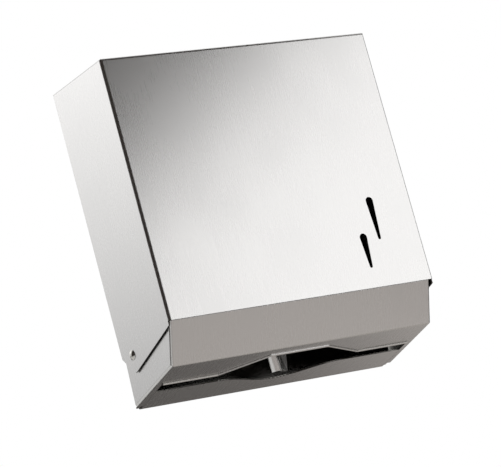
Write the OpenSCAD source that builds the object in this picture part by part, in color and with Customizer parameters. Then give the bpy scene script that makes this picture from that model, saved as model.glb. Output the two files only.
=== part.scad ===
// Wall dispenser for folded paper, made of folded stainless sheet.
// A cover swings forward on two rivets over a fixed housing with a bottom slot.
// X runs to the right, Y into the wall and Z up, in millimetres.
// The origin is the centre of the four wall holes, on the rear face.

/* [Cover] */
// Outside width of the cover
cover_w = 275; // [240:1:320]
// Height of the front panel
cover_h = 232; // [190:1:300]
// Depth of the cover from front to rear edge
cover_d = 92; // [84:1:120]
// Thickness of all folded sheet
sheet_t = 1; // [0.8:0.1:1.2]
// Outside radius of the folds
bend_r = 2.5; // [2:0.1:4]
// Width of the inward returns along the rear edges
return_w = 10; // [8:0.5:14]
// Drop of the side panels below the front panel
side_drop = 26; // [22:0.5:30]
// Step of the side panels below the front panel at the front corners
corner_drop = 3.5; // [1:0.5:6]
// Depth of the heel cut at the rear of each side panel
heel_run = 18.5; // [13:0.5:20]
// Height of the heel cut
heel_rise = 18; // [14:0.5:20]

/* [Sight slots] */
// Distance of the upper slot from the right-hand edge
sight_edge = 44.3; // [30:0.1:100]
// Sideways distance between the two slots
sight_pitch = 16.8; // [12:0.1:30]
// Height of the lower slot above the front panel's lower edge
sight_rise = 17.8; // [14:0.1:60]
// Height of the upper slot's foot above the lower slot's foot
sight_step = 24.1; // [0:0.1:60]
// Length of the upper slot
sight_upper_l = 39.1; // [20:0.1:60]
// Length of the lower slot
sight_lower_l = 31.4; // [20:0.1:60]
// Width of a slot at its round head
sight_head_w = 7.6; // [5:0.1:10]
// Width of a slot at its foot
sight_foot_w = 3.1; // [2:0.1:5]

/* [Housing] */
// Gap between the cover's rear edge and the wall
wall_gap = 8; // [4:0.5:10]
// Inset of the nose from each side of the cover
nose_inset = 2; // [1.8:0.1:3]
// Recess of the nose behind the face of the front panel
nose_recess = 2.7; // [2.2:0.1:5]
// Distance of the fascia's lower fold behind the front panel's face
fascia_run = 18.5; // [14:0.5:28]
// Drop of the fascia's lower fold below the front panel
fascia_drop = 35.7; // [30:0.1:42]
// Drop of the floor at the wall below the front panel
floor_drop = 53.8; // [46:0.1:60]
// Depth of the stiffening flanges of the back plate
back_flange = 22; // [8:0.5:24]
// Clearance between the back plate's flanges and the cover's returns
back_gap = 1.5; // [1:0.1:4]
// Clearance of the back plate's upper edge below the cover's top panel
back_top_gap = 2; // [1.5:0.1:4]
// Length of the weld tabs that join the back plate to the nose's floor
tab_l = 26; // [14:0.5:27]
// Setback of the nose's rear edges from the wall at their foot
rear_gap = 8.5; // [0.3:0.1:10]
// Forward lean of the nose's rear edges from their foot up to the hinge axis
rear_lean = 2.8; // [0:0.1:5]
// Distance of the nose's upper rear corners behind the hinge axis
rear_ease = 2; // [0:0.5:3]

/* [Wall holes] */
// Diameter of the wall holes
hole_d = 6.5; // [5:0.1:8]
// Sideways spacing of the wall holes
hole_dx = 180; // [120:1:210]
// Upright spacing of the wall holes
hole_dz = 150; // [100:1:160]
// Height of the hole centre above the front panel's lower edge
hole_rise = 116; // [100:1:130]

/* [Paper slot] */
// Distance of the rear lip's ends from the wall
slot_back = 34; // [30:0.5:42]
// Width of the slot at its ends
slot_gap = 13.7; // [4.6:0.1:15]
// Width of floor left along each side of the slot
slot_edge = 7; // [5:0.5:12]
// Width of the straight middle of the front lip
mouth_flat_w = 60; // [40:1:80]
// Width of the front lip's notch at its wide end
mouth_w = 147; // [120:1:180]
// Depth of floor left in front of the notch
mouth_strip = 10.5; // [7:0.5:14]
// Width of the rear lip's scallop
scallop_w = 130; // [90:1:160]
// Depth of the rear lip's scallop
scallop_d = 14.5; // [8:0.5:22]
// Diameter of the curled bead along the front lip
bead_d = 2.4; // [2.2:0.1:4]

/* [Hinge] */
// Distance of the hinge axis in front of the cover's rear edge
pivot_back = 20.2; // [17:0.1:22]
// Distance of the hinge axis below the front panel's lower edge
pivot_drop = 10.4; // [9:0.1:12]
// Diameter of the hinge pins
pin_d = 5; // [4:0.1:6]
// Diameter of the pins' domed heads
pin_head_d = 9; // [8:0.1:12]
// Height of the pins' domed heads
pin_head_h = 2; // [1.5:0.1:3]
// Diameter of the pins' closed inner ends
pin_peen_d = 8; // [7:0.1:10]
// Height of the pins' closed inner ends
pin_peen_h = 1.4; // [1:0.1:2]
// Wall of the hinge bushes
bush_wall = 1; // [0.8:0.1:1.5]
// Diameter of the bushes' flanges
bush_flange_d = 14; // [11:0.5:16]
// Diameter of the inner washers
washer_d = 12; // [10.5:0.5:14]
// Thickness of the inner washers
washer_t = 1; // [0.6:0.1:1.5]
// Clearance of the returns above the nose when the cover is open
stop_gap = 0.5; // [0.3:0.1:1]

/* [Paper tongue] */
// Width of the tongue
tongue_w = 24; // [20:0.5:30]
// Thickness of the tongue
tongue_t = 1; // [0.8:0.1:1.2]
// Distance of the tongue's tip from the wall
tongue_reach = 32; // [25:0.5:40]
// Length of the tongue's base on the back plate
tongue_base_h = 26; // [24:0.5:34]
// Height of the base's top above the front panel's lower edge
tongue_top = 18; // [12:0.5:24]
// Upright length of the tongue's hanging end
tongue_hang = 21; // [14:0.5:26]
// Lean of the hanging end towards the front at its knee
tongue_lean = 7; // [2:0.5:10]
// Length of flat tongue left between its knee and its formed end
tongue_flat = 5; // [3:0.5:8]
// Diameter of the round lobe formed at the left of the hanging end
lobe_d = 9; // [7:0.5:11]
// Width of flat tongue left beside the lobe
lobe_margin = 2.5; // [1.5:0.1:4]
// Backward sweep of the wing at the right of the hanging end
wing_sweep = 6; // [3:0.5:9]

/* [Rivets and buffers] */
// Diameter of the rivets' shanks
rivet_d = 3.2; // [2.4:0.1:4]
// Diameter of the rivets' heads
rivet_head_d = 6.4; // [5:0.1:8]
// Height of the rivets' heads
rivet_head_h = 1.5; // [1:0.1:2]
// Upright spacing of the tongue's rivets
tongue_rivet_pitch = 11; // [9:0.5:14]
// Sideways spacing of the keeper's rivets
keeper_rivet_pitch = 10; // [8:0.5:11]
// Diameter of the rubber buffers
buffer_d = 7; // [5:0.1:8]
// Distance of each buffer from the back plate's side edge
buffer_inset = 26; // [12:0.5:60]

/* [Lock] */
// Distance of the lock's axis from the wall
lock_back = 30; // [28:0.5:36]
// Diameter of the lock barrel
barrel_d = 18; // [16:0.1:20]
// Width across the barrel's flats
barrel_flat = 16; // [14.5:0.1:18]
// Reach of the barrel below the cover's top return
barrel_reach = 8; // [7.5:0.5:14]
// Diameter of the barrel's head
lock_head_d = 22; // [20.5:0.1:26]
// Height of the barrel's head
lock_head_h = 2.2; // [2:0.1:3.5]
// Diameter of the plug
plug_d = 12; // [10:0.1:13]
// Diameter of the plug's head
plug_head_d = 14.6; // [13.6:0.1:16]
// Height of the plug's head
plug_head_h = 1.1; // [0.8:0.1:1.4]
// Width of the plug's square tail
plug_tail = 7; // [6:0.1:8]
// Width of the key slot
key_w = 1.8; // [1:0.1:2.5]
// Length of the key slot
key_l = 8; // [6:0.1:9]
// Depth of the key slot
key_depth = 12; // [8:0.5:14]
// Width of the nut across its flats
nut_flat = 22; // [21:0.5:24]
// Height of the nut
nut_h = 4; // [3:0.1:5]
// Diameter of the lock washer
lock_washer_d = 24; // [22:0.5:27]
// Thickness of the lock washer
lock_washer_t = 1; // [0.6:0.1:1.5]
// Reach of the cam from the lock's axis
cam_reach = 24; // [22:0.5:26]
// Width of the cam
cam_w = 14; // [12:0.5:15]
// Thickness of the cam
cam_t = 2; // [1.5:0.1:3]
// Diameter of the cam screw's head
cam_screw_d = 9; // [8.5:0.1:11]
// Height of the cam screw's head
cam_screw_h = 2.6; // [2:0.1:3.5]
// Diameter of the cam screw's shank
cam_shank_d = 4; // [3:0.1:5]
// Length of the cam screw's shank
cam_shank_l = 9; // [7:0.5:12]

/* [Lock keeper] */
// Thickness of the keeper
keeper_t = 1.5; // [1:0.1:2]
// Height of keeper left above and below its window
keeper_rim = 5; // [3:0.5:5.5]
// Width of the keeper's base on the back plate
keeper_base_w = 20; // [16:0.5:30]
// Length of keeper in front of its window
keeper_bar = 5; // [4:0.5:8]
// How far the turned cam passes through the keeper's window
cam_grip = 4.5; // [3:0.1:5]

/* [Clearances] */
// Radial clearance of a pin or plug that turns
run_gap = 0.06; // [0.03:0.01:0.1]
// Radial clearance of a rivet, screw or barrel in its hole
hole_gap = 0.05; // [0.03:0.01:0.1]
// Clearance between flat faces that slide or rest
seat_gap = 0.2; // [0.1:0.05:0.3]
// Clearance around the cam in the keeper's window
window_gap = 1; // [0.6:0.1:2]
// Clearance between the rear strip and the nose's floor edges
strip_gap = 0.2; // [0.1:0.05:0.5]

/* [Hidden] */
$fn = 48;

satin_steel = "#c9c8c4";
rivet_steel = "#b4b3ae";
lock_metal = "#d8d9dc";
plated_steel = "#b9b7a8";
nylon = "#e8e6dc";
rubber = "#2b2b2b";

// Overshoot of cutting solids
spare = 20;
// Small step where two round shapes join
join_step = 0.05;
// Height of a rounded corner's arc above the side that cuts it
ease_step = 0.02;

// Faces of the cover
front_y = -(cover_d + wall_gap);
cover_back_y = -wall_gap;
front_z = -hole_rise;
top_z = front_z + cover_h;
cover_in = cover_w / 2 - sheet_t;
heel_low = [cover_back_y - heel_run, front_z - side_drop];
heel_high = [cover_back_y, front_z - side_drop + heel_rise];
cover_low = front_z - side_drop - spare;

// Hinge axis and the nose's upper edge, which the returns clear as they swing
pivot_y = cover_back_y - pivot_back;
pivot_z = front_z - pivot_drop;
nose_top = pivot_z + pivot_back - sheet_t - stop_gap;

// Folds of the nose, as points of the side view
nose_w = cover_w - 2 * nose_inset;
nose_in = nose_w / 2 - sheet_t;
fold_front = [front_y + nose_recess, front_z];
fold_low = [front_y + fascia_run, front_z - fascia_drop];
floor_back = [0, front_z - floor_drop];
floor_slope = (floor_back[1] - fold_low[1]) / (floor_back[0] - fold_low[0]);
prism_l = 2 * (cover_d + cover_h);

// Paper slot, as points of the plan
slot_half = nose_w / 2 - slot_edge;
bead_r = bead_d / 2;
knuckle_r = bead_r + join_step;
rear_lip = -slot_back;
lip_end = rear_lip - slot_gap - bead_r;
lip_mid = fold_low[0] + mouth_strip;
lip_line = [
    [-slot_half, lip_end], [-mouth_w / 2, lip_end], [-mouth_flat_w / 2, lip_mid],
    [mouth_flat_w / 2, lip_mid], [mouth_w / 2, lip_end], [slot_half, lip_end]
];
scallop_steps = 40;

// Back plate
back_w = cover_w - 2 * (return_w + back_gap);
back_top = top_z - sheet_t - back_top_gap;
flange_top = top_z - return_w - back_gap;
plate_y = -sheet_t;
plate_low = floor_back[1] + bend_r;
strip_high = plate_low + slot_edge;
strip_half = slot_half - strip_gap;
buffer_x = back_w / 2 - buffer_inset;

// Lock and keeper heights
lock_y = -lock_back;
barrel_l = return_w + barrel_reach;
barrel_low = top_z - barrel_l;
cam_high = barrel_low - seat_gap;
cam_low = cam_high - cam_t;
cam_mid = (cam_high + cam_low) / 2;
keeper_h = cam_t + 2 * (window_gap + keeper_rim);
keeper_x = cam_reach - cam_grip;
keeper_front = lock_y - cam_w / 2 - window_gap - keeper_bar;
window_front = lock_y - cam_w / 2 - window_gap;
window_back = lock_y + sqrt(cam_reach * cam_reach - keeper_x * keeper_x) + window_gap;
keeper_rivet_x = keeper_x + keeper_t + keeper_base_w / 2;

// Tongue, as points of the side view along the middle of its sheet
tongue_y = plate_y - tongue_t / 2;
tongue_tip = [-tongue_reach, floor_z(-tongue_reach)];
tongue_knee = tongue_tip + [-tongue_lean, tongue_hang];
tongue_path = [
    [tongue_y, front_z + tongue_top],
    [tongue_y, front_z + tongue_top - tongue_base_h],
    tongue_knee,
    tongue_knee + (tongue_tip - tongue_knee) * tongue_flat / tongue_hang
];
lobe_r = lobe_d / 2;
lobe_x = lobe_margin + lobe_r - tongue_w / 2;
tongue_rivet_z = front_z + tongue_top - tongue_base_h / 2;

function unit(v) = v / norm(v);
function inward(d) = [-d[1], d[0]];
function meet(p, u, q, v) = p + u * cross(q - p, v) / cross(u, v);
function way(loop, i) = unit(loop[(i + 1) % len(loop)] - loop[i % len(loop)]);
function box_loop(low, high) = [low, [high[0], low[1]], high, [low[0], high[1]]];

// Corner i of an anticlockwise loop after every side has moved inwards by d
function inset_corner(loop, i, d) =
    let (u = way(loop, i + len(loop) - 1), v = way(loop, i))
    meet(loop[i] + inward(u) * d, u, loop[i] + inward(v) * d, v);
function inset_loop(loop, d) = [for (i = [0:len(loop) - 1]) inset_corner(loop, i, d)];

// Height of the sloping floor's outer face
function floor_z(y) = fold_low[1] + floor_slope * (y - fold_low[0]);

// Side view of the nose, closed at a given distance behind the wall
function nose_loop(back) = [
    [back, floor_z(back)], [back, nose_top + spare], [fold_front[0], nose_top + spare],
    fold_front, fold_low
];

// Rear lip of the slot, with its scallop towards the wall
function scallop_y(x) = rear_lip + scallop_d * (1 + cos(360 * x / scallop_w)) / 2;
rear_line = [
    [-slot_half, rear_lip],
    for (i = [0:scallop_steps])
        let (x = scallop_w * (i / scallop_steps - 0.5)) [x, scallop_y(x)],
    [slot_half, rear_lip]
];

// Loop with every corner rounded to radius r
module rounded_loop(loop, r) {
    centres = inset_loop(loop, r);
    last = len(loop) - 1;
    polygon([for (i = [0:last]) each [
        centres[i] - inward(way(loop, i + last)) * r,
        centres[i] - inward(way(loop, i)) * r
    ]]);
    for (c = centres) translate(c) circle(r);
}

// The same, a little proud of its sides, to round a block whose own faces stay where they are
module proud_loop(loop, r) {
    rounded_loop(inset_loop(loop, -ease_step), r);
}

// Extrusions of a side view along X and of a front view along Y
module along_x(w) {
    rotate([90, 0, 90]) linear_extrude(w, center = true) children();
}
module along_y(back, d) {
    translate([0, back, 0]) rotate([90, 0, 0]) linear_extrude(d) children();
}

// Round bar between two points
module rod(p, q, r) {
    v = q - p;
    translate(p)
        rotate([0, acos(v[2] / norm(v)), atan2(v[1], v[0])])
            cylinder(h = norm(v), r = r);
}

// Domed head that stands on z = 0
module dome(d, h) {
    ball_r = (d * d / 4 + h * h) / (2 * h);
    intersection() {
        translate([0, 0, h - ball_r]) sphere(ball_r);
        cylinder(h = h, d = d);
    }
}

// Strip of sheet along a path of points, with rounded folds
module strip_profile(path, t) {
    for (i = [0:len(path) - 2]) {
        side = inward(unit(path[i + 1] - path[i])) * t / 2;
        polygon([path[i] - side, path[i + 1] - side, path[i + 1] + side, path[i] + side]);
    }
    for (i = [1:len(path) - 2]) translate(path[i]) circle(d = t);
}

// Closed box of the cover, moved inwards by d on every side
module cover_block(d) {
    r = bend_r - d;
    low = [-cover_w / 2 + d, front_y + d, cover_low];
    high = [cover_w / 2 - d, cover_back_y - d, top_z - d];
    intersection() {
        translate([0, 0, cover_low]) linear_extrude(top_z - cover_low)
            rounded_loop(box_loop([low[0], low[1]], [high[0], high[1]]), r);
        along_x(cover_w)
            rounded_loop(box_loop([low[1], low[2]], [high[1], high[2]]), r);
        along_y(cover_back_y, cover_d)
            rounded_loop(box_loop([low[0], low[2]], [high[0], high[2]]), r);
    }
}

// What is cut away below the cover, seen from the side
module cover_hem_cut() {
    along_x(cover_w + spare) polygon([
        [front_y - spare, front_z], [front_y + bend_r, front_z],
        [front_y + bend_r, front_z - corner_drop], heel_low, heel_high,
        [cover_back_y + spare, heel_high[1]], [cover_back_y + spare, cover_low - spare],
        [front_y - spare, cover_low - spare]
    ]);
}

// Tapered slot that stands on its foot at the origin, seen from the front
module sight_slot(l) {
    head_r = sight_head_w / 2;
    foot_r = sight_foot_w / 2;
    head_z = l - head_r;
    translate([0, head_z]) circle(head_r);
    translate([0, foot_r]) circle(foot_r);
    polygon([
        [join_step - foot_r, foot_r], [foot_r - join_step, foot_r],
        [head_r - join_step, head_z], [join_step - head_r, head_z]
    ]);
}

module sight_slots() {
    upper_x = cover_w / 2 - sight_edge;
    along_y(front_y + bend_r, 2 * bend_r) {
        translate([upper_x, front_z + sight_rise + sight_step]) sight_slot(sight_upper_l);
        translate([upper_x - sight_pitch, front_z + sight_rise]) sight_slot(sight_lower_l);
    }
}

// Block of the nose, moved inwards by d, with its long side edges rounded
module nose_block(d) {
    loop = nose_loop(spare);
    intersection() {
        along_x(nose_w - 2 * d) intersection() {
            polygon(inset_loop(loop, d));
            proud_loop(inset_loop(loop, d), bend_r - d);
        }
        edge_prism(loop[2], way(loop, 2), d);
        edge_prism(loop[3], way(loop, 3), d);
        edge_prism(loop[4], way(loop, 4), d);
    }
}

// Prism behind one face of the nose, rounded where the face meets the sides
module edge_prism(p, d, depth) {
    out = -inward(d);
    half = nose_w / 2 - depth;
    multmatrix([[1, 0, 0, 0], [0, out[0], -out[1], p[0]], [0, out[1], out[0], p[1]], [0, 0, 0, 1]])
        linear_extrude(prism_l, center = true)
            proud_loop(box_loop([-half, -prism_l], [half, -depth]), bend_r - depth);
}

// Side view of the nose's walls, whose rear edges lean forward past the hinge
module wall_outline() {
    polygon([
        [front_y, nose_top], [front_y, floor_back[1] - spare], [-rear_gap, floor_back[1] - spare],
        [-rear_gap, floor_back[1]], [-rear_gap - rear_lean, pivot_z], [pivot_y + rear_ease, nose_top]
    ]);
}

// Curled bead under the front lip of the slot
module lip_bead() {
    points = [for (p = lip_line) [p[0], p[1], floor_z(p[1]) + sheet_t - bead_r]];
    for (i = [0:len(points) - 2]) rod(points[i], points[i + 1], bead_r);
    for (i = [1:len(points) - 2]) translate(points[i]) sphere(knuckle_r);
}

// Places a shape on the hinge axis, with its z pointing outwards on that side
module on_hinge(side) {
    translate([0, pivot_y, pivot_z]) rotate([0, side * 90, 0]) children();
}

// Places a shape on the lock's axis, from the top panel's outer face
module at_lock() {
    translate([0, lock_y, top_z]) children();
}

// Places the rivets of the tongue and of the keeper on a face, with z pointing forwards
module at_tongue_rivets(face_y) {
    for (s = [-1, 1])
        translate([0, face_y, tongue_rivet_z + s * tongue_rivet_pitch / 2])
            rotate([90, 0, 0]) children();
}
module at_keeper_rivets(face_y) {
    for (s = [-1, 1])
        translate([keeper_rivet_x + s * keeper_rivet_pitch / 2, face_y, cam_mid])
            rotate([90, 0, 0]) children();
}

// Rivet whose head stands on z = 0, with its shank reaching back to the wall face
module rivet(grip) {
    dome(rivet_head_d, rivet_head_h);
    translate([0, 0, -grip]) cylinder(h = grip, d = rivet_d);
}

module rivet_hole() {
    cylinder(h = spare, d = rivet_d + 2 * hole_gap, center = true);
}

// Square prism centred on z
module square_bar(w, h) {
    linear_extrude(h) square(w, center = true);
}

module front_cover() {
    color(satin_steel) difference() {
        cover_block(0);
        cover_block(sheet_t);
        cover_hem_cut();
        translate([return_w - cover_w / 2, cover_back_y - bend_r, cover_low])
            cube([cover_w - 2 * return_w, 2 * bend_r, top_z - return_w - cover_low]);
        sight_slots();
        for (side = [-1, 1]) on_hinge(side) cylinder(h = cover_w, d = pin_d + 2 * (bush_wall + hole_gap));
        at_lock() translate([0, 0, -spare / 2]) linear_extrude(spare) barrel_section(hole_gap);
    }
}

module nose_tray() {
    color(satin_steel) union() {
        difference() {
            intersection() {
                difference() {
                    nose_block(0);
                    nose_block(sheet_t);
                }
                along_x(cover_w) wall_outline();
            }
            translate([0, 0, floor_back[1] - spare])
                linear_extrude(fold_low[1] + sheet_t - floor_back[1] + spare)
                    polygon(concat(lip_line, [[slot_half, spare], [-slot_half, spare]]));
            for (side = [-1, 1]) on_hinge(side) cylinder(h = cover_w, d = pin_d + 2 * hole_gap);
        }
        lip_bead();
    }
}

// Back plate's upper part: a shallow channel, seen from above
module back_channel() {
    loop = box_loop([-back_w / 2, -back_flange - spare], [back_w / 2, 0]);
    difference() {
        rounded_loop(loop, bend_r);
        rounded_loop(inset_loop(loop, sheet_t), bend_r - sheet_t);
        translate([-cover_w, -back_flange - 2 * spare]) square([2 * cover_w, 2 * spare]);
    }
}

// Rear strip of the floor, folded forward from the back plate's lower edge
module rear_strip() {
    loop = nose_loop(0);
    intersection() {
        along_x(2 * strip_half) difference() {
            rounded_loop(loop, bend_r);
            rounded_loop(inset_loop(loop, sheet_t), bend_r - sheet_t);
        }
        translate([0, 0, floor_back[1] - spare])
            linear_extrude(spare + strip_high - floor_back[1])
                polygon(concat(rear_line, [[slot_half, spare], [-slot_half, spare]]));
    }
}

// Part of a weld tab between two heights above the floor's outer face
module floor_tab(w, low, high) {
    front = -bend_r - tab_l;
    back = -bend_r;
    along_x(w) polygon([
        [front, floor_z(front) + low], [back, floor_z(back) + low],
        [back, floor_z(back) + high], [front, floor_z(front) + high]
    ]);
}

// Weld tab that stands on the rear strip and reaches over the nose's floor edge
module weld_tab(side) {
    floor_t = sheet_t * norm([1, floor_slope]);
    root = strip_half - slot_edge;
    root_w = slot_edge - strip_gap;
    tab_w = nose_in - bend_r - root;
    translate([side * (root + root_w / 2), 0, 0]) floor_tab(root_w, floor_t / 2, 2 * floor_t);
    translate([side * (root + tab_w / 2), 0, 0]) floor_tab(tab_w, floor_t + hole_gap, 2 * floor_t);
}

module back_plate() {
    color(satin_steel) difference() {
        union() {
            translate([0, 0, strip_high]) linear_extrude(flange_top - strip_high) back_channel();
            translate([bend_r - back_w / 2, plate_y, plate_low])
                cube([back_w - 2 * bend_r, sheet_t, back_top - plate_low]);
            rear_strip();
            for (side = [-1, 1]) weld_tab(side);
        }
        for (sx = [-1, 1], sz = [-1, 1])
            translate([sx * hole_dx / 2, 0, sz * hole_dz / 2]) rotate([90, 0, 0])
                cylinder(h = spare, d = hole_d, center = true);
        at_tongue_rivets(0) rivet_hole();
        at_keeper_rivets(0) rivet_hole();
    }
}

module hinge_pin(side) {
    head_base = cover_w / 2 + seat_gap;
    shank_in = nose_in - hole_gap - washer_t;
    color(rivet_steel) on_hinge(side) {
        translate([0, 0, head_base]) dome(pin_head_d, pin_head_h);
        translate([0, 0, shank_in]) cylinder(h = head_base - shank_in, d = pin_d);
        translate([0, 0, shank_in - pin_peen_h]) cylinder(h = pin_peen_h, d = pin_peen_d);
    }
}

module hinge_washer(side) {
    color(rivet_steel) on_hinge(side) translate([0, 0, nose_in - hole_gap - washer_t]) difference() {
        cylinder(h = washer_t, d = washer_d);
        cylinder(h = spare, d = pin_d + 2 * hole_gap, center = true);
    }
}

module hinge_bush(side) {
    flange_t = cover_in - nose_w / 2 - seat_gap;
    color(nylon) on_hinge(side) translate([0, 0, cover_in]) difference() {
        union() {
            cylinder(h = sheet_t, d = pin_d + 2 * bush_wall);
            translate([0, 0, -flange_t]) cylinder(h = flange_t, d = bush_flange_d);
        }
        cylinder(h = spare, d = pin_d + 2 * run_gap, center = true);
    }
}

// Plan of the tongue's formed end: a flat edge, a round lobe and a wing swept back
module tongue_section() {
    side = tongue_w / 2;
    skin = tongue_t / 2;
    lobe_left = lobe_x - lobe_r + skin;
    lobe_right = lobe_x + lobe_r - skin;
    translate([-side, -skin]) square([lobe_left + side, tongue_t]);
    translate([lobe_x, 0]) difference() {
        circle(lobe_r);
        circle(lobe_r - tongue_t);
        translate([-lobe_d, skin]) square(2 * lobe_d);
    }
    polygon([
        [lobe_right, -skin], [side, wing_sweep - skin], [side, wing_sweep + skin], [lobe_right, skin]
    ]);
}

module paper_tongue() {
    lean = tongue_lean / tongue_hang;
    formed_h = tongue_hang - tongue_flat / 2;
    color(satin_steel) difference() {
        union() {
            along_x(tongue_w) strip_profile(tongue_path, tongue_t);
            multmatrix([[1, 0, 0, 0], [0, 1, -lean, tongue_tip[0]], [0, 0, 1, tongue_tip[1]], [0, 0, 0, 1]])
                linear_extrude(formed_h) tongue_section();
        }
        at_tongue_rivets(0) rivet_hole();
    }
}

module tongue_rivets() {
    color(rivet_steel) at_tongue_rivets(plate_y - tongue_t) rivet(sheet_t + tongue_t);
}

module lock_keeper() {
    color(plated_steel) difference() {
        translate([0, 0, cam_mid - keeper_h / 2]) linear_extrude(keeper_h) strip_profile([
            [keeper_x + keeper_t / 2, keeper_front],
            [keeper_x + keeper_t / 2, plate_y - keeper_t / 2],
            [keeper_x + keeper_t + keeper_base_w, plate_y - keeper_t / 2]
        ], keeper_t);
        translate([keeper_x - keeper_t, window_front, cam_low - window_gap])
            cube([3 * keeper_t, window_back - window_front, cam_t + 2 * window_gap]);
        at_keeper_rivets(0) rivet_hole();
    }
}

module keeper_rivets() {
    color(rivet_steel) at_keeper_rivets(plate_y - keeper_t) rivet(sheet_t + keeper_t);
}

module buffer(side) {
    reach = wall_gap - sheet_t - seat_gap;
    dome_h = reach / 3;
    color(rubber) translate([side * buffer_x, plate_y, back_top - buffer_d / 2]) rotate([90, 0, 0]) {
        cylinder(h = reach - dome_h, d = buffer_d);
        translate([0, 0, reach - dome_h]) dome(buffer_d, dome_h);
    }
}

// Round section with two flats, larger by a gap all round
module barrel_section(gap) {
    intersection() {
        circle(d = barrel_d + 2 * gap);
        square([barrel_flat + 2 * gap, barrel_d + spare], center = true);
    }
}

module lock_barrel() {
    color(lock_metal) at_lock() difference() {
        union() {
            dome(lock_head_d, lock_head_h);
            translate([0, 0, -barrel_l]) linear_extrude(barrel_l) barrel_section(0);
        }
        translate([0, 0, lock_head_h - plug_head_h - seat_gap])
            cylinder(h = spare, d = plug_head_d + 2 * run_gap);
        translate([0, 0, -barrel_l - spare])
            cylinder(h = barrel_l + 2 * spare, d = plug_d + 2 * run_gap);
    }
}

module lock_washer() {
    color(plated_steel) at_lock() translate([0, 0, -sheet_t - lock_washer_t])
        linear_extrude(lock_washer_t) difference() {
            circle(d = lock_washer_d);
            barrel_section(hole_gap);
        }
}

module lock_nut() {
    color(plated_steel) at_lock() translate([0, 0, -sheet_t - lock_washer_t - nut_h]) difference() {
        cylinder(h = nut_h, d = nut_flat / cos(30), $fn = 6);
        translate([0, 0, -spare]) cylinder(h = nut_h + 2 * spare, d = barrel_d + 2 * hole_gap);
    }
}

module lock_plug() {
    head_low = lock_head_h - plug_head_h;
    tail_high = -barrel_l;
    tail_l = seat_gap + cam_t;
    color(lock_metal) at_lock() difference() {
        union() {
            translate([0, 0, head_low]) cylinder(h = plug_head_h, d = plug_head_d);
            translate([0, 0, tail_high]) cylinder(h = head_low - tail_high, d = plug_d);
            translate([0, 0, tail_high - tail_l]) square_bar(plug_tail, tail_l);
        }
        translate([-key_w / 2, -key_l / 2, lock_head_h - key_depth]) cube([key_w, key_l, spare]);
        translate([0, 0, tail_high - tail_l - spare])
            cylinder(h = cam_shank_l + spare + hole_gap, d = cam_shank_d + 2 * hole_gap);
    }
}

// Cam of the lock, pointing at the wall while the cover is unlocked
module lock_cam() {
    tip = cam_reach - cam_w / 2;
    color(plated_steel) translate([0, lock_y, cam_low]) linear_extrude(cam_t) difference() {
        union() {
            circle(d = cam_w);
            translate([-cam_w / 2, 0]) square([cam_w, tip]);
            translate([0, tip]) circle(d = cam_w);
        }
        square(plug_tail + 2 * hole_gap, center = true);
    }
}

module cam_screw() {
    socket_d = cam_shank_d;
    color(plated_steel) translate([0, lock_y, cam_low]) difference() {
        union() {
            mirror([0, 0, 1]) cylinder(h = cam_screw_h, d = cam_screw_d);
            cylinder(h = cam_shank_l, d = cam_shank_d);
        }
        translate([0, 0, -cam_screw_h - spare])
            cylinder(h = spare + cam_screw_h / 2, d = socket_d, $fn = 6);
    }
}

back_plate();
nose_tray();
hinge_pin(-1);  // hinge_pin_left
hinge_pin(1);  // hinge_pin_right
hinge_washer(-1);  // hinge_washer_left
hinge_washer(1);  // hinge_washer_right
paper_tongue();
tongue_rivets();
lock_keeper();
keeper_rivets();
buffer(-1);  // buffer_left
buffer(1);  // buffer_right
front_cover();
hinge_bush(-1);  // hinge_bush_left
hinge_bush(1);  // hinge_bush_right
lock_barrel();
lock_washer();
lock_nut();
lock_plug();
lock_cam();
cam_screw();
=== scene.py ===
"""Wall dispenser of folded stainless sheet, dressed for display.

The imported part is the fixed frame. This file gives each of its pieces a finish, draws the paper
tongue's lobe as the press does, adds the spot welds and the lock's thread, and sets the part in a
white studio with the photograph's camera.
"""

import math

import bpy
from bpy.props import FloatProperty, FloatVectorProperty, IntProperty, PointerProperty
from mathutils import Matrix, Vector
from mathutils.bvhtree import BVHTree


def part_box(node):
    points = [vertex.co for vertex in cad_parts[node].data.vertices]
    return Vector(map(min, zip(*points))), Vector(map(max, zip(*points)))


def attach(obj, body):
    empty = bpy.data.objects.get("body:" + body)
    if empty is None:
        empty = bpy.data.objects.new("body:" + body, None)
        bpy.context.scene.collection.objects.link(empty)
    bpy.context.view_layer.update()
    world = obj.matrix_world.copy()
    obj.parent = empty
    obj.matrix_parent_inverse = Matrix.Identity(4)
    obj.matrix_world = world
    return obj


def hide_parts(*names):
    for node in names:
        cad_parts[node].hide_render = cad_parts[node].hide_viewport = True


bl_info = {
    "name": "Folded steel dispenser",
    "version": (1, 0, 0),
    "blender": (4, 5, 0),
    "location": "View3D > Sidebar > Dispenser",
    "description": "Finishes, small fittings and studio of a wall dispenser for folded paper",
    "category": "Object",
}

MM = 0.001

# Attribute of the sheets' faces that is 1 where the metal was cut
CUT_EDGE = "cut_edge"
# Depth under a face at which the search for the sheet's other face starts
SKIN_GAP = 0.01 * MM
# Least sideways share of a normal that makes a face part of a side panel
SIDE_FACE = 0.7
# Point behind the wall, from which the tongue's front counts as its outer face
BEHIND_WALL = Vector((0, 1, 0))
# Sockets of a Mix node for colours, whose names it also gives to its sockets for numbers
MIX_A, MIX_B, MIX_OUT = 6, 7, 2
# Section of a spot weld, in shares of its radius and rise, from below up its rim and over the ring
WELD_SECTION = ((0, -1), (1, -1), (1, 0), (0.88, 0.8), (0.78, 1), (0.66, 0.5), (0.4, 0.2), (0, 0.15))
WELD_STEPS = 32
# Steps of the lock's thread, upwards for each turn and along its arc
THREAD_ROWS = 8
THREAD_STEPS = 24

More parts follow.
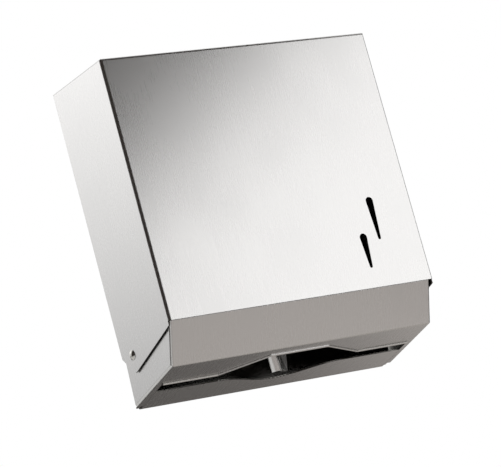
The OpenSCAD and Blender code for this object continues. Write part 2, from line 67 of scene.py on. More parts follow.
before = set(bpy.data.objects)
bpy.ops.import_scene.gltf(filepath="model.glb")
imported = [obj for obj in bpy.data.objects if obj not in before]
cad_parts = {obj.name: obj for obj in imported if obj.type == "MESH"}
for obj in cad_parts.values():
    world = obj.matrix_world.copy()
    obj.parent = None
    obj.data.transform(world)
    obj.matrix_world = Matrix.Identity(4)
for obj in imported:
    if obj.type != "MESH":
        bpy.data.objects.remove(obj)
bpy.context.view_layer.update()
COVER_LOW, COVER_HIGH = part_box("front_cover")
NOSE_LOW, NOSE_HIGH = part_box("nose_tray")
BARREL_LOW, BARREL_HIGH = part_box("lock_barrel")
NUT_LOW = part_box("lock_nut")[0]
TONGUE_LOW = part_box("paper_tongue")[0]

# Reflectors of the tent round the part. Each has the azimuth and elevation of its four corners in
# degrees, from the lower left anticlockwise, the way in which its brightness changes, its brightness
# at the start and end of that way, and its tint. White paper is 1.
REFLECTORS = {
    "key_softbox": (((12, -14), (72, -14), (72, 46.7), (12, 5.9)), "across", 1.49, 1.53, "#ffffff"),
    "black_curtain": (((-114, -22), (11, -22), (11, 70), (-114, 70)), "across", 0.045, 0.045, "#fff0e4"),
    "black_overhead": (((11, 5.9), (80, 52.1), (110, 80), (11, 80)), "across", 0.02, 0.06, "#fff0e4"),
    "right_flag": (((72, -26), (104, -26), (104, 32), (72, 32)), "across", 0.05, 0.16, "#ffffff"),
    "rear_flag": (((120, -12), (170, -12), (170, 30), (120, 30)), "across", 0.05, 0.05, "#ffffff"),
    "dark_skirt": (((11, -26), (72, -26), (72, -14), (11, -14)), "across", 0.12, 0.12, "#fff8f0"),
    "grey_board": (((-40, -75), (70, -75), (70, -26), (-40, -26)), "across", 0.4, 0.65, "#fff8f3"),
    "side_board": (((70, -75), (128, -75), (128, -26), (70, -26)), "across", 0.4, 0.55, "#fff8f0"),
    "floor_card": (((-180, -90), (180, -90), (180, -75), (-180, -75)), "across", 0.15, 0.15, "#fff8f3"),
    "dark_board": (((128, -70), (144, -70), (144, -12), (128, -12)), "across", 0.49, 0.15, "#fff8f3"),
    "far_board": (((144, -70), (200, -70), (200, -12), (144, -12)), "across", 0.15, 0.05, "#fff8f3"),
    "rear_softbox": (((-168, -14), (-118, -14), (-118, 32), (-168, 32)), "upwards", 0.27, 1.81, "#ffffff"),
}


def linear(code):
    """Linear colour, with full alpha, of an sRGB hex value."""
    parts = [int(code[i : i + 2], 16) / 255 for i in (1, 3, 5)]
    return (*(c / 12.92 if c <= 0.04045 else ((c + 0.055) / 1.055) ** 2.4 for c in parts), 1.0)


def colour(name, description, code):
    """Colour property whose default is an sRGB hex value."""
    return FloatVectorProperty(
        name=name, description=description, subtype="COLOR", size=4, min=0, max=1, default=linear(code)
    )


def length(name, description, millimetres):
    """Length property whose default is given in millimetres."""
    return FloatProperty(
        name=name, description=description, subtype="DISTANCE", unit="LENGTH", min=0, default=millimetres * MM
    )


class DispenserFinish(bpy.types.PropertyGroup):
    """Colours and surface sizes of the dispenser's materials"""

    steel: colour("Steel", "Colour that the satin outer face of the sheet reflects", "#d2d1d0")
    # The inside colour is darker than the mill face alone: it carries painted shade inside the housing.
    steel_inside_and_shade: colour("Steel inside", "Colour that the mill face inside reflects", "#8f8d89")
    # The cut-edge colour is darker than the laser's skin alone: it carries painted shade along seams and
    # slots.
    edge_skin_and_shade: colour("Steel edge", "Colour of the dull skin that a laser leaves on a cut edge", "#45423e")
    rivet: colour("Rivet steel", "Colour of the headed pins, rivets and washers", "#c8c6c1")
    zinc: colour("Zinc plate", "Colour of the plated nut, washer, cam and keeper", "#bfc0bd")
    zinc_bloom: colour("Zinc bloom", "Colour of the plate's duller patches", "#a3a6a8")
    chrome: colour("Chrome plate", "Colour of the lock's barrel and plug", "#dcdde0")
    nylon: colour("Nylon", "Colour of the moulded hinge bushes", "#e6e2d5")
    rubber: colour("Rubber", "Colour of the moulded buffers", "#2c2b2a")
    weld_tint: colour("Weld tint", "Straw colour that heat leaves round a spot weld", "#a58a68")
    grain_pitch: length("Grain pitch", "Width of a line of the satin grain", 0.7)
    grain_run: length("Grain run", "Length of a line of the satin grain", 45)
    smudge: length("Smudge", "Width of the faint cloudy patches on the sheet", 60)
    spangle: length("Spangle", "Width of the mottled patches on plate and headed wire", 1.6)
    scratch: length("Scratch", "Width of a hairline scratch on the chrome", 0.3)
    scratch_run: length("Scratch run", "Length of a hairline scratch on the chrome", 3)
    mould_grit: length("Mould grit", "Grit of the spark-eroded moulds of nylon and rubber", 0.3)
    weld_pool: length("Weld pool", "Diameter of the grey pool in a spot weld", 1.4)
    weld_halo: length("Weld halo", "Diameter at which a spot weld's straw tint is full", 2.8)


class DispenserFittings(bpy.types.PropertyGroup):
    """Sizes of the sheet and of the small fittings that are added to the part"""

    sheet: length("Sheet", "Thickness of the folded sheet", 1)
    cut_reach: length("Cut reach", "Depth of metal behind a face that shows it to be a cut edge", 3)
    lobe_d: length("Lobe", "Width of the lobe that is pressed into the tongue's hanging end", 9)
    lobe_side: length("Lobe side", "Distance of the lobe's axis left of the tongue's middle plane", 5)
    lobe_blend: length("Lobe blend", "Width that the press draws round into the lobe", 11)
    lobe_slant: length("Lobe slant", "Distance that the lobe's foot stands right of its top", 6)
    lobe_shift: length("Lobe shift", "Distance that the press draws the lobe's top to the left", 2)
    tongue_knee: length("Tongue knee", "Depth of the tongue's knee below the wall holes' middle", 141)
    weld_d: length("Weld", "Diameter of a spot weld", 3)
    weld_rise: length("Weld rise", "Height of the ring that the electrode leaves", 0.12)
    weld_side: length("Weld side", "Distance of the welds from the part's middle plane", 130.2)
    weld_inset: length("Weld inset", "Distance of the rear welds from the wall", 13)
    weld_pitch: length("Weld pitch", "Distance between the two welds of a tab", 11)
    floor_foot: length(
        "Floor foot", "Depth of the nose floor's rear edge below the wall holes' middle", 169.8
    )
    floor_fall: FloatProperty(
        name="Floor fall", description="Slope of the nose's floor down to the wall", subtype="ANGLE",
        default=math.radians(12.52),
    )
    thread_pitch: length("Thread pitch", "Pitch of the lock barrel's thread", 1)
    thread_rise: length("Thread rise", "Height of the thread over the barrel", 0.04)
    thread_depth: length("Thread depth", "Depth of the thread's groove", 0.5)
    thread_end: FloatProperty(
        name="Thread end", description="Angle left bare between the thread and the barrel's flat",
        subtype="ANGLE", default=0.02,
    )
    barrel_flat: length("Barrel flat", "Width across the barrel's flats", 16)
    barrel_d: length("Barrel", "Diameter of the lock barrel", 18)


class DispenserStudio(bpy.types.PropertyGroup):
    """Camera, floor and light of the studio"""

    camera: FloatVectorProperty(
        name="Camera", description="Place of the camera", subtype="TRANSLATION", unit="LENGTH",
        default=(-1.38594, -2.12486, -0.52083),
    )
    aim: FloatVectorProperty(
        name="Aim", description="Point that the camera looks at", subtype="TRANSLATION", unit="LENGTH",
        default=(-0.02283, -0.07939, -0.0479),
    )
    roll: FloatProperty(
        name="Roll", description="Turn of the camera about its line of sight", subtype="ANGLE",
        default=math.radians(-15.277),
    )
    sensor_w: FloatProperty(
        name="Sensor", description="Width of the camera's sensor", subtype="DISTANCE_CAMERA", default=36
    )
    lens: FloatProperty(
        name="Lens", description="Focal length on that sensor", subtype="DISTANCE_CAMERA", default=209.024
    )
    sight_limit: length("Sight limit", "Greatest distance that the camera sees", 200000)
    floor_drop: length("Floor drop", "Depth of the floor below the part", 2700)
    floor_w: length("Floor width", "Width of the floor", 60000)
    fibre: length("Fibre", "Length of the fibres in the floor's paper", 2)
    paper: colour("Paper", "Colour of the floor", "#f7f7f5")
    paper_light: FloatProperty(
        name="Paper light", description="Strength of the white surround as a light", min=0, default=0.8
    )
    tent: FloatVectorProperty(
        name="Tent", description="Middle of the tent of reflectors", subtype="TRANSLATION", unit="LENGTH",
        default=(0, -0.05, -0.02),
    )
    tent_r: length("Tent radius", "Distance of the reflectors from the part", 1000)
    tent_steps: IntProperty(name="Tent steps", description="Faces along a reflector", min=1, default=16)
    lamp_h: length("Lamp height", "Height of the lamp over the part", 2200)
    lamp_w: length("Lamp width", "Width of the lamp", 1800)
    lamp_power: FloatProperty(name="Lamp power", description="Power of the lamp", unit="POWER", default=18)


def add_node(tree, kind, settings=None, values=None, links=None):
    """Adds a node with its settings, the values of its inputs and links from earlier nodes."""
    node = tree.nodes.new(kind)
    for name, setting in (settings or {}).items():
        setattr(node, name, setting)
    for name, value in (values or {}).items():
        node.inputs[name].default_value = value
    for name, socket in (links or {}).items():
        tree.links.new(socket, node.inputs[name])
    return node


def new_material(name):
    """Empty node material, with its tree."""
    material = bpy.data.materials.new(name)
    material.use_nodes = True
    material.node_tree.nodes.clear()
    return material, material.node_tree


def wear(material, *names):
    """Puts a material on CAD pieces, in every slot that they have."""
    for name in names:
        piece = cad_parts[name]
        if not piece.material_slots:
            piece.data.materials.append(material)
        for slot in piece.material_slots:
            slot.material = material


def mark_cut_edges(name, reach):
    """Marks the faces where a sheet was cut, from which the metal runs on inwards past the reach."""
    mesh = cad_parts[name].data
    skin = BVHTree.FromPolygons(
        [point.co for point in mesh.vertices], [face.vertices for face in mesh.polygons]
    )
    cut = mesh.attributes.new(CUT_EDGE, "FLOAT", "FACE")
    for face in mesh.polygons:
        start = face.center - SKIN_GAP * face.normal
        run = skin.ray_cast(start, -face.normal)[3]
        cut.data[face.index].value = float(run is not None and run > reach)


def satin_stainless(finish, name, centre):
    """Stainless sheet, ground to a satin finish outside and left as rolled inside.

    The grain is upright on the front and sides. It blurs reflections more across its lines than
    along them, so a light shows as a soft glow with faint upright streaks. The rolled face inside
    is duller, and its colour is darkened further as painted shade inside the housing. A face is
    inside if it looks towards the centre. The cut edges keep the laser's dull skin and are painted
    darker still, as painted shade that draws a dark line along seams and slots.
    """
    material, tree = new_material(name)
    place = add_node(tree, "ShaderNodeTexCoord")
    at = add_node(tree, "ShaderNodeSeparateXYZ", links={0: place.outputs["Object"]})
    facing = add_node(tree, "ShaderNodeSeparateXYZ", links={0: place.outputs["Normal"]})
    turned = add_node(
        tree, "ShaderNodeMath", settings={"operation": "ABSOLUTE"}, links={0: facing.outputs["X"]}
    )
    side = add_node(
        tree, "ShaderNodeMath", settings={"operation": "GREATER_THAN"},
        values={1: SIDE_FACE}, links={0: turned.outputs[0]},
    )
    across = add_node(
        tree, "ShaderNodeMix", links={0: side.outputs[0], "A": at.outputs["X"], "B": at.outputs["Y"]}
    )
    depth = add_node(
        tree, "ShaderNodeMix", values={"B": 0}, links={0: side.outputs[0], "A": at.outputs["Y"]}
    )
    along = add_node(
        tree, "ShaderNodeMath", settings={"operation": "ADD"},
        links={0: at.outputs["Z"], 1: depth.outputs[0]},
    )
    flat = add_node(
        tree, "ShaderNodeCombineXYZ", links={"X": across.outputs[0], "Y": along.outputs[0]}
    )
    # The real lines are about 0.1 mm wide, and are drawn wider so that they show
    lines = add_node(
        tree, "ShaderNodeMapping",
        values={"Scale": (1 / finish.grain_pitch, 1 / finish.grain_run, 1)},
        links={"Vector": flat.outputs[0]},
    )
    grain = add_node(
        tree, "ShaderNodeTexNoise", settings={"noise_dimensions": "2D"},
        values={"Scale": 1, "Detail": 3, "Roughness": 0.6}, links={"Vector": lines.outputs[0]},
    )
    cloud = add_node(
        tree, "ShaderNodeTexNoise",
        values={"Scale": 1 / finish.smudge, "Detail": 2, "Roughness": 0.5},
        links={"Vector": place.outputs["Object"]},
    )
    middle = add_node(
        tree, "ShaderNodeVectorMath", settings={"operation": "SUBTRACT"},
        values={1: centre}, links={0: place.outputs["Object"]},
    )
    outward = add_node(
        tree, "ShaderNodeVectorMath", settings={"operation": "DOT_PRODUCT"},
        links={0: middle.outputs[0], 1: place.outputs["Normal"]},
    )
    inside = add_node(
        tree, "ShaderNodeMath", settings={"operation": "LESS_THAN"},
        values={1: 0}, links={0: outward.outputs["Value"]},
    )
    # Faces that look towards the centre take the duller inside colour, darkened as painted shade inside the
    # housing.
    tone = add_node(
        tree, "ShaderNodeMix", settings={"data_type": "RGBA"},
        values={MIX_A: finish.steel, MIX_B: finish.steel_inside_and_shade}, links={0: inside.outputs[0]},
    )
    # Cut edges are painted dark: partly the laser's dull skin, partly painted shade in the seams and slots.
    cut = add_node(tree, "ShaderNodeAttribute", settings={"attribute_name": CUT_EDGE})
    edged = add_node(
        tree, "ShaderNodeMix", settings={"data_type": "RGBA"},
        values={MIX_B: finish.edge_skin_and_shade}, links={0: cut.outputs["Fac"], MIX_A: tone.outputs[MIX_OUT]},
    )
    satin = add_node(
        tree, "ShaderNodeMapRange",
        values={"From Min": 0.25, "From Max": 0.75, "To Min": 0.262, "To Max": 0.288},
        links={"Value": grain.outputs[0]},
    )
    hazy = add_node(
        tree, "ShaderNodeMapRange",
        values={"From Min": 0.3, "From Max": 0.7, "To Min": -0.012, "To Max": 0.012},
        links={"Value": cloud.outputs[0]},
    )
    outer = add_node(
        tree, "ShaderNodeMath", settings={"operation": "ADD"},
        links={0: satin.outputs[0], 1: hazy.outputs[0]},
    )
    rough = add_node(
        tree, "ShaderNodeMix", values={"B": 0.22}, links={0: inside.outputs[0], "A": outer.outputs[0]}
    )
    dulled = add_node(
        tree, "ShaderNodeMix", values={"B": 0.5}, links={0: cut.outputs["Fac"], "A": rough.outputs[0]}
    )
    relief = add_node(
        tree, "ShaderNodeBump", values={"Strength": 0.025, "Distance": 0.02 * MM},
        links={"Height": grain.outputs[0]},
    )
    upright = add_node(
        tree, "ShaderNodeMath", settings={"operation": "SUBTRACT"},
        values={0: 1}, links={1: side.outputs[0]},
    )
    crosswise = add_node(
        tree, "ShaderNodeCombineXYZ", links={"X": upright.outputs[0], "Y": side.outputs[0]}
    )
    tangent = add_node(
        tree, "ShaderNodeVectorTransform",
        settings={"vector_type": "VECTOR", "convert_from": "OBJECT", "convert_to": "WORLD"},
        links={0: crosswise.outputs[0]},
    )
    shader = add_node(
        tree, "ShaderNodeBsdfPrincipled", values={"Metallic": 1, "Anisotropic": 0.2},
        links={
            "Base Color": edged.outputs[MIX_OUT], "Roughness": dulled.outputs[0],
            "Normal": relief.outputs[0], "Tangent": tangent.outputs[0],
        },
    )
    add_node(tree, "ShaderNodeOutputMaterial", links={"Surface": shader.outputs[0]})
    return material


def headed_stainless(finish):
    """Stainless wire, cold headed: smooth from the die, with faint cloudy patches of wear."""
    material, tree = new_material("cold headed stainless")
    place = add_node(tree, "ShaderNodeTexCoord")
    scuff = add_node(
        tree, "ShaderNodeTexNoise",
        values={"Scale": 1 / finish.spangle, "Detail": 4, "Roughness": 0.6},
        links={"Vector": place.outputs["Object"]},
    )
    rough = add_node(
        tree, "ShaderNodeMapRange",
        values={"From Min": 0.3, "From Max": 0.7, "To Min": 0.16, "To Max": 0.26},
        links={"Value": scuff.outputs[0]},
    )
    relief = add_node(
        tree, "ShaderNodeBump", values={"Strength": 0.1, "Distance": 0.03 * MM},
        links={"Height": scuff.outputs[0]},
    )
    shader = add_node(
        tree, "ShaderNodeBsdfPrincipled", values={"Base Color": finish.rivet, "Metallic": 1},
        links={"Roughness": rough.outputs[0], "Normal": relief.outputs[0]},
    )
    add_node(tree, "ShaderNodeOutputMaterial", links={"Surface": shader.outputs[0]})
    return material


def zinc_plate(finish):
    """Pressed steel, zinc plated and passivated: cool grey with a faint mottle and soft highlights."""
    material, tree = new_material("passivated zinc plate")
    place = add_node(tree, "ShaderNodeTexCoord")
    mottle = add_node(
        tree, "ShaderNodeTexNoise",
        values={"Scale": 1 / finish.spangle, "Detail": 3, "Roughness": 0.55},
        links={"Vector": place.outputs["Object"]},
    )
    tone = add_node(
        tree, "ShaderNodeMix", settings={"data_type": "RGBA"},
        values={MIX_A: finish.zinc, MIX_B: finish.zinc_bloom}, links={0: mottle.outputs[0]},
    )
    rough = add_node(
        tree, "ShaderNodeMapRange",
        values={"From Min": 0.3, "From Max": 0.7, "To Min": 0.3, "To Max": 0.44},
        links={"Value": mottle.outputs[0]},
    )
    relief = add_node(
        tree, "ShaderNodeBump", values={"Strength": 0.15, "Distance": 0.03 * MM},
        links={"Height": mottle.outputs[0]},
    )
    shader = add_node(
        tree, "ShaderNodeBsdfPrincipled", values={"Metallic": 1},
        links={
            "Base Color": tone.outputs[MIX_OUT], "Roughness": rough.outputs[0],
            "Normal": relief.outputs[0],
        },
    )
    add_node(tree, "ShaderNodeOutputMaterial", links={"Surface": shader.outputs[0]})
    return material


def chrome_plate(finish):
    """Zinc die casting, polished and chrome plated: a near mirror with hairline key scratches."""
    material, tree = new_material("bright chrome plate")
    place = add_node(tree, "ShaderNodeTexCoord")
    hairs = add_node(
        tree, "ShaderNodeMapping",
        values={"Scale": (1 / finish.scratch, 1 / finish.scratch_run, 1 / finish.scratch_run)},
        links={"Vector": place.outputs["Object"]},
    )
    scratch = add_node(
        tree, "ShaderNodeTexNoise", values={"Scale": 1, "Detail": 2, "Roughness": 0.5},
        links={"Vector": hairs.outputs[0]},
    )
    rough = add_node(
        tree, "ShaderNodeMapRange",
        values={"From Min": 0.45, "From Max": 0.75, "To Min": 0.07, "To Max": 0.18},
        links={"Value": scratch.outputs[0]},
    )
    shader = add_node(
        tree, "ShaderNodeBsdfPrincipled", values={"Base Color": finish.chrome, "Metallic": 1},
        links={"Roughness": rough.outputs[0]},
    )
    add_node(tree, "ShaderNodeOutputMaterial", links={"Surface": shader.outputs[0]})
    return material


def moulding(finish, name, tint, roughness, glow):
    """Moulded polymer with the fine even grit of a spark-eroded mould, and a soft broad highlight."""
    material, tree = new_material(name)
    spread = 0.06
    place = add_node(tree, "ShaderNodeTexCoord")
    grit = add_node(
        tree, "ShaderNodeTexNoise",
        values={"Scale": 1 / finish.mould_grit, "Detail": 2, "Roughness": 0.5},
        links={"Vector": place.outputs["Object"]},
    )
    rough = add_node(
        tree, "ShaderNodeMapRange",
        values={
            "From Min": 0.3, "From Max": 0.7, "To Min": roughness - spread, "To Max": roughness + spread,
        },
        links={"Value": grit.outputs[0]},
    )
    relief = add_node(
        tree, "ShaderNodeBump", values={"Strength": 0.25, "Distance": 0.04 * MM},
        links={"Height": grit.outputs[0]},
    )
    shader = add_node(
        tree, "ShaderNodeBsdfPrincipled",
        values={"Base Color": tint, "IOR": 1.53, "Subsurface Weight": glow, "Subsurface Scale": MM},
        links={"Roughness": rough.outputs[0], "Normal": relief.outputs[0]},
    )
    add_node(tree, "ShaderNodeOutputMaterial", links={"Surface": shader.outputs[0]})
    return material


def weld_steel(finish):
    """Stainless sheet under a spot weld: a dull grey pool with a straw ring that the heat drew."""
    material, tree = new_material("heat tinted stainless")
    place = add_node(tree, "ShaderNodeTexCoord")
    flat = add_node(
        tree, "ShaderNodeVectorMath", settings={"operation": "MULTIPLY"},
        values={1: (1, 1, 0)}, links={0: place.outputs["Object"]},
    )
    radius = add_node(
        tree, "ShaderNodeVectorMath", settings={"operation": "LENGTH"}, links={0: flat.outputs[0]}
    )
    ring = add_node(
        tree, "ShaderNodeMapRange", settings={"interpolation_type": "SMOOTHSTEP"},
        values={"From Min": finish.weld_pool / 2, "From Max": finish.weld_halo / 2},
        links={"Value": radius.outputs["Value"]},
    )
    # The pool takes the inside face's colour, which carries painted shade inside the housing.
    tone = add_node(
        tree, "ShaderNodeMix", settings={"data_type": "RGBA"},
        values={MIX_A: finish.steel_inside_and_shade, MIX_B: finish.weld_tint}, links={0: ring.outputs[0]},
    )
    shader = add_node(
        tree, "ShaderNodeBsdfPrincipled", values={"Metallic": 1, "Roughness": 0.45},
        links={"Base Color": tone.outputs[MIX_OUT]},
    )
    add_node(tree, "ShaderNodeOutputMaterial", links={"Surface": shader.outputs[0]})
    return material


def mesh_piece(name, points, faces, material):
    """Smooth mesh object, placed in the part's frame."""
    mesh = bpy.data.meshes.new(name)
    mesh.from_pydata(points, [], faces)
    mesh.validate()
    mesh.shade_smooth()
    mesh.materials.append(material)
    piece = bpy.data.objects.new(name, mesh)
    bpy.context.scene.collection.objects.link(piece)
    return piece


def turned_mesh(profile, steps):
    """Points and faces of a closed turned form.

    The profile has (radius, height) pairs, and starts and ends on the axis.
    """
    rims = profile[1:-1]
    points = [(0, 0, profile[0][1])]
    for r, h in rims:
        for i in range(steps):
            a = math.tau * i / steps
            points.append((r * math.cos(a), r * math.sin(a), h))
    points.append((0, 0, profile[-1][1]))
    last = len(points) - 1
    faces = []
    for i in range(steps):
        j = (i + 1) % steps
        faces.append((0, 1 + j, 1 + i))
        for k in range(len(rims) - 1):
            low, high = 1 + k * steps, 1 + (k + 1) * steps
            faces.append((low + i, low + j, high + j, high + i))
        top = 1 + (len(rims) - 1) * steps
        faces.append((top + i, top + j, last))
    return points, faces


def thread_mesh(fit, height, side):
    """Points and faces of the thread on one round flank of the barrel, from its lower end upwards.

    Its core lies inside the barrel, one more groove's depth below the groove.
    """
    crest_r = fit.barrel_d / 2 + fit.thread_rise
    core_r = crest_r - 2 * fit.thread_depth
    half_arc = math.acos(fit.barrel_flat / fit.barrel_d) - fit.thread_end
    rows = round(height / fit.thread_pitch * THREAD_ROWS)
    points = []
    for i in range(THREAD_STEPS + 1):
        swing = half_arc * (2 * i / THREAD_STEPS - 1)
        a = side * math.pi / 2 + swing
        for k in range(rows + 1):
            z = height * k / rows
            phase = (z / fit.thread_pitch - a / math.tau) % 1
            r = crest_r - fit.thread_depth * abs(2 * phase - 1)
            points.append((r * math.cos(a), r * math.sin(a), z))
        for z in (height, 0):
            points.append((core_r * math.cos(a), core_r * math.sin(a), z))
    ring = rows + 3
    faces = []
    for i in range(THREAD_STEPS):
        for k in range(ring):
            m = (k + 1) % ring
            faces.append((i * ring + k, (i + 1) * ring + k, (i + 1) * ring + m, i * ring + m))
    faces.append(tuple(range(ring)))
    faces.append(tuple(reversed(range(THREAD_STEPS * ring, (THREAD_STEPS + 1) * ring))))
    return points, faces


class DISPENSER_OT_sheet_metal(bpy.types.Operator):
    """Finish the folded sheets: cover, nose, back plate and paper tongue"""

    bl_idname = "dispenser.sheet_metal"
    bl_label = "Folded sheets"

    def execute(self, context):
        finish = context.scene.dispenser_finish
        reach = context.scene.dispenser_fittings.cut_reach
        store = (COVER_LOW + COVER_HIGH) / 2
        hollow = (NOSE_LOW + NOSE_HIGH) / 2
        for sheet, name, centre in (
            ("cover", "front_cover", store), ("nose", "nose_tray", hollow),
            ("back", "back_plate", store), ("tongue", "paper_tongue", BEHIND_WALL),
        ):
            mark_cut_edges(name, reach)
            wear(satin_stainless(finish, f"satin stainless {sheet}", centre), name)
        return {"FINISHED"}


class DISPENSER_OT_tongue(bpy.types.Operator):
    """Draw the tongue's lobe round to its left edge, as the press does"""

    bl_idname = "dispenser.tongue"
    bl_label = "Paper tongue"

    def execute(self, context):
        fit = context.scene.dispenser_fittings
        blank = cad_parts["paper_tongue"]
        pressed = bpy.data.objects.new("pressed_tongue", blank.data.copy())
        context.scene.collection.objects.link(pressed)
        left = TONGUE_LOW.x
        middle = left + fit.lobe_blend / 2
        stretch = fit.lobe_blend / fit.lobe_d
        slope = fit.lobe_slant / (TONGUE_LOW.z + fit.tongue_knee)
        for point in pressed.data.vertices:
            beside = point.co.x + fit.lobe_side
            below = point.co.z + fit.tongue_knee
            if below < 0 and beside < fit.lobe_d / 2:
                point.co.x = max(left, middle + stretch * beside) + slope * below - fit.lobe_shift
        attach(pressed, "housing")
        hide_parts("paper_tongue")
        return {"FINISHED"}


class DISPENSER_OT_hinges(bpy.types.Operator):
    """Finish the hinge pins, their washers and bushes, and the rivets"""

    bl_idname = "dispenser.hinges"
    bl_label = "Hinges and rivets"

    def execute(self, context):
        finish = context.scene.dispenser_finish
        wear(
            headed_stainless(finish), "hinge_pin_left", "hinge_pin_right", "hinge_washer_left",
            "hinge_washer_right", "tongue_rivets", "keeper_rivets",
        )
        nylon = moulding(finish, "moulded nylon", finish.nylon, roughness=0.42, glow=0.2)
        wear(nylon, "hinge_bush_left", "hinge_bush_right")
        return {"FINISHED"}


class DISPENSER_OT_lock(bpy.types.Operator):
    """Finish the cam lock and its keeper, and cut the barrel's thread"""

    bl_idname = "dispenser.lock"
    bl_label = "Lock and keeper"

    def execute(self, context):
        finish = context.scene.dispenser_finish
        chrome = chrome_plate(finish)
        wear(chrome, "lock_barrel", "lock_plug")
        wear(zinc_plate(finish), "lock_nut", "lock_washer", "lock_cam", "cam_screw", "lock_keeper")
        fit = context.scene.dispenser_fittings
        middle = (BARREL_LOW + BARREL_HIGH) / 2
        for side, name in ((-1, "barrel_thread_front"), (1, "barrel_thread_rear")):
            points, faces = thread_mesh(fit, NUT_LOW.z - BARREL_LOW.z, side)
            thread = mesh_piece(name, points, faces, chrome)
            thread.location = (middle.x, middle.y, BARREL_LOW.z)
            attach(thread, "cover")
        return {"FINISHED"}


class DISPENSER_OT_buffers(bpy.types.Operator):
    """Finish the rubber buffers that the closed cover rests on"""

    bl_idname = "dispenser.buffers"
    bl_label = "Buffers"

    def execute(self, context):
        finish = context.scene.dispenser_finish
        rubber = moulding(finish, "moulded rubber", finish.rubber, roughness=0.62, glow=0)
        wear(rubber, "buffer_left", "buffer_right")
        return {"FINISHED"}


class DISPENSER_OT_spot_welds(bpy.types.Operator):
    """Add the spot welds that join the back plate's tabs to the nose"""

    bl_idname = "dispenser.spot_welds"
    bl_label = "Spot welds"

    def execute(self, context):
        fit = context.scene.dispenser_fittings
        steel = weld_steel(context.scene.dispenser_finish)
        profile = [(r * fit.weld_d / 2, h * fit.weld_rise) for r, h in WELD_SECTION]
        points, faces = turned_mesh(profile, WELD_STEPS)
        tab_top = 2 * fit.sheet / math.cos(fit.floor_fall) - fit.floor_foot
        for side, hand in ((-1, "left"), (1, "right")):
            for row, place in enumerate(("rear", "front")):
                run = fit.weld_inset + row * fit.weld_pitch
                weld = mesh_piece(f"spot_weld_{hand}_{place}", points, faces, steel)
                weld.matrix_world = Matrix.Translation(
                    (side * fit.weld_side, -run, tab_top + run * math.tan(fit.floor_fall))
                ) @ Matrix.Rotation(-fit.floor_fall, 4, "X")
                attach(weld, "housing")
        return {"FINISHED"}


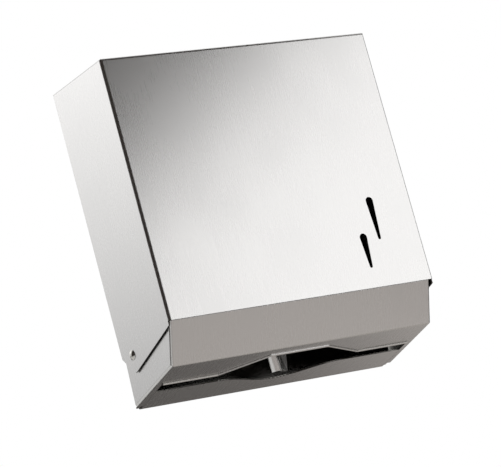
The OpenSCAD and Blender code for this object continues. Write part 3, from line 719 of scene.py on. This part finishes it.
class DISPENSER_OT_studio(bpy.types.Operator):
    """Build the white studio: floor, world, lamp, reflectors and camera"""

    bl_idname = "dispenser.studio"
    bl_label = "Studio"

    def execute(self, context):
        scene = context.scene
        studio = scene.dispenser_studio
        self.lay_floor(studio)
        self.light_world(scene, studio)
        self.hang_lamp(scene, studio)
        for name, (corners, way, start, end, tint) in REFLECTORS.items():
            self.set_reflector(studio, name, corners, self.glow(name, way, start, end, tint))
        self.place_camera(scene, studio)
        scene.view_settings.view_transform = "Standard"
        return {"FINISHED"}

    def lay_floor(self, studio):
        """Matt white paper far below the part, which is held up as on a wall."""
        material, tree = new_material("matt white paper")
        place = add_node(tree, "ShaderNodeTexCoord")
        fibre = add_node(
            tree, "ShaderNodeTexNoise", values={"Scale": 1 / studio.fibre, "Detail": 2},
            links={"Vector": place.outputs["Object"]},
        )
        relief = add_node(
            tree, "ShaderNodeBump", values={"Strength": 0.05, "Distance": 0.05 * MM},
            links={"Height": fibre.outputs[0]},
        )
        shader = add_node(
            tree, "ShaderNodeBsdfDiffuse", values={"Color": studio.paper},
            links={"Normal": relief.outputs[0]},
        )
        add_node(tree, "ShaderNodeOutputMaterial", links={"Surface": shader.outputs[0]})
        half = studio.floor_w / 2
        corners = [(-half, -half, 0), (half, -half, 0), (half, half, 0), (-half, half, 0)]
        floor = mesh_piece("studio_floor", corners, [(0, 1, 2, 3)], material)
        floor.location.z = -studio.floor_drop

    def light_world(self, scene, studio):
        """White paper all round, for the eye and in the metal, and a little softer as light."""
        world = bpy.data.worlds.new("white studio")
        world.use_nodes = True
        tree = world.node_tree
        tree.nodes.clear()
        path = add_node(tree, "ShaderNodeLightPath")
        seen = add_node(
            tree, "ShaderNodeMath", settings={"operation": "MAXIMUM"},
            links={0: path.outputs["Is Camera Ray"], 1: path.outputs["Is Glossy Ray"]},
        )
        white = add_node(
            tree, "ShaderNodeMath", settings={"operation": "MAXIMUM"},
            links={0: seen.outputs[0], 1: path.outputs["Is Transmission Ray"]},
        )
        level = add_node(
            tree, "ShaderNodeMapRange", values={"To Min": studio.paper_light, "To Max": 1},
            links={"Value": white.outputs[0]},
        )
        paper = add_node(
            tree, "ShaderNodeBackground", values={"Color": linear("#ffffff")},
            links={"Strength": level.outputs[0]},
        )
        add_node(tree, "ShaderNodeOutputWorld", links={"Surface": paper.outputs[0]})
        scene.world = world

    def hang_lamp(self, scene, studio):
        """Broad lamp overhead, for the soft shadow. The metal sees the reflectors in its place."""
        lamp = bpy.data.lights.new("overhead lamp", "AREA")
        lamp.shape = "DISK"
        lamp.size = studio.lamp_w
        lamp.energy = studio.lamp_power
        hung = bpy.data.objects.new("overhead_lamp", lamp)
        hung.location = (0, 0, studio.lamp_h)
        hung.visible_camera = False
        hung.visible_glossy = False
        scene.collection.objects.link(hung)

    def glow(self, name, way, start, end, tint):
        """Lit cloth of a reflector: an even glow, or one that grows or fades from edge to edge."""
        material, tree = new_material(name.replace("_", " "))
        place = add_node(tree, "ShaderNodeUVMap", settings={"uv_map": "tent"})
        part = add_node(tree, "ShaderNodeSeparateXYZ", links={0: place.outputs[0]})
        level = add_node(
            tree, "ShaderNodeMapRange", values={"To Min": start, "To Max": end},
            links={"Value": part.outputs["X" if way == "across" else "Y"]},
        )
        shader = add_node(
            tree, "ShaderNodeEmission", values={"Color": linear(tint)},
            links={"Strength": level.outputs[0]},
        )
        add_node(tree, "ShaderNodeOutputMaterial", links={"Surface": shader.outputs[0]})
        return material

    def set_reflector(self, studio, name, corners, material):
        """Curved board of the tent round the part, which only shows as a reflection."""
        lower_left, lower_right, upper_right, upper_left = (Vector(corner) for corner in corners)
        steps = studio.tent_steps
        points, spots, faces = [], [], []
        for j in range(steps + 1):
            for i in range(steps + 1):
                u, v = i / steps, j / steps
                spot = lower_left.lerp(lower_right, u).lerp(upper_left.lerp(upper_right, u), v)
                azimuth, elevation = (math.radians(angle) for angle in spot)
                reach = studio.tent_r * math.cos(elevation)
                offset = (
                    reach * math.sin(azimuth), -reach * math.cos(azimuth),
                    studio.tent_r * math.sin(elevation),
                )
                points.append(Vector(studio.tent) + Vector(offset))
                spots.append((u, v))
        for j in range(steps):
            for i in range(steps):
                k = j * (steps + 1) + i
                faces.append((k, k + 1, k + steps + 2, k + steps + 1))
        board = mesh_piece(name, points, faces, material)
        layer = board.data.uv_layers.new(name="tent")
        for loop in board.data.loops:
            layer.data[loop.index].uv = spots[loop.vertex_index]
        board.visible_camera = False
        board.visible_diffuse = False
        board.visible_shadow = False
        board.visible_transmission = False

    def place_camera(self, scene, studio):
        """Camera at the photograph's place, angle and lens."""
        data = bpy.data.cameras.new("photograph")
        data.sensor_width = studio.sensor_w
        data.lens = studio.lens
        data.clip_end = studio.sight_limit
        camera = bpy.data.objects.new("photograph", data)
        place = Vector(studio.camera)
        sight = (Vector(studio.aim) - place).to_track_quat("-Z", "Y").to_matrix().to_4x4()
        camera.matrix_world = Matrix.Translation(place) @ sight @ Matrix.Rotation(studio.roll, 4, "Z")
        scene.collection.objects.link(camera)
        scene.camera = camera


class DISPENSER_PT_panel(bpy.types.Panel):
    """Steps that dress the dispenser, in order"""

    bl_idname = "DISPENSER_PT_panel"
    bl_label = "Dispenser"
    bl_space_type = "VIEW_3D"
    bl_region_type = "UI"
    bl_category = "Dispenser"

    def draw(self, context):
        for step in STEPS:
            self.layout.operator(step.bl_idname)


GROUPS = {
    "dispenser_finish": DispenserFinish,
    "dispenser_fittings": DispenserFittings,
    "dispenser_studio": DispenserStudio,
}
STEPS = (
    DISPENSER_OT_sheet_metal, DISPENSER_OT_tongue, DISPENSER_OT_hinges, DISPENSER_OT_lock,
    DISPENSER_OT_buffers, DISPENSER_OT_spot_welds, DISPENSER_OT_studio,
)


def register():
    for name, group in GROUPS.items():
        bpy.utils.register_class(group)
        setattr(bpy.types.Scene, name, PointerProperty(type=group))
    for step in STEPS:
        bpy.utils.register_class(step)
    bpy.utils.register_class(DISPENSER_PT_panel)


def unregister():
    bpy.utils.unregister_class(DISPENSER_PT_panel)
    for step in reversed(STEPS):
        bpy.utils.unregister_class(step)
    for name, group in reversed(GROUPS.items()):
        delattr(bpy.types.Scene, name)
        bpy.utils.unregister_class(group)


def main():
    register()
    bpy.ops.dispenser.sheet_metal()
    bpy.ops.dispenser.tongue()
    bpy.ops.dispenser.hinges()
    bpy.ops.dispenser.lock()
    bpy.ops.dispenser.buffers()
    bpy.ops.dispenser.spot_welds()
    bpy.ops.dispenser.studio()


if __name__ == "__main__":
    main()
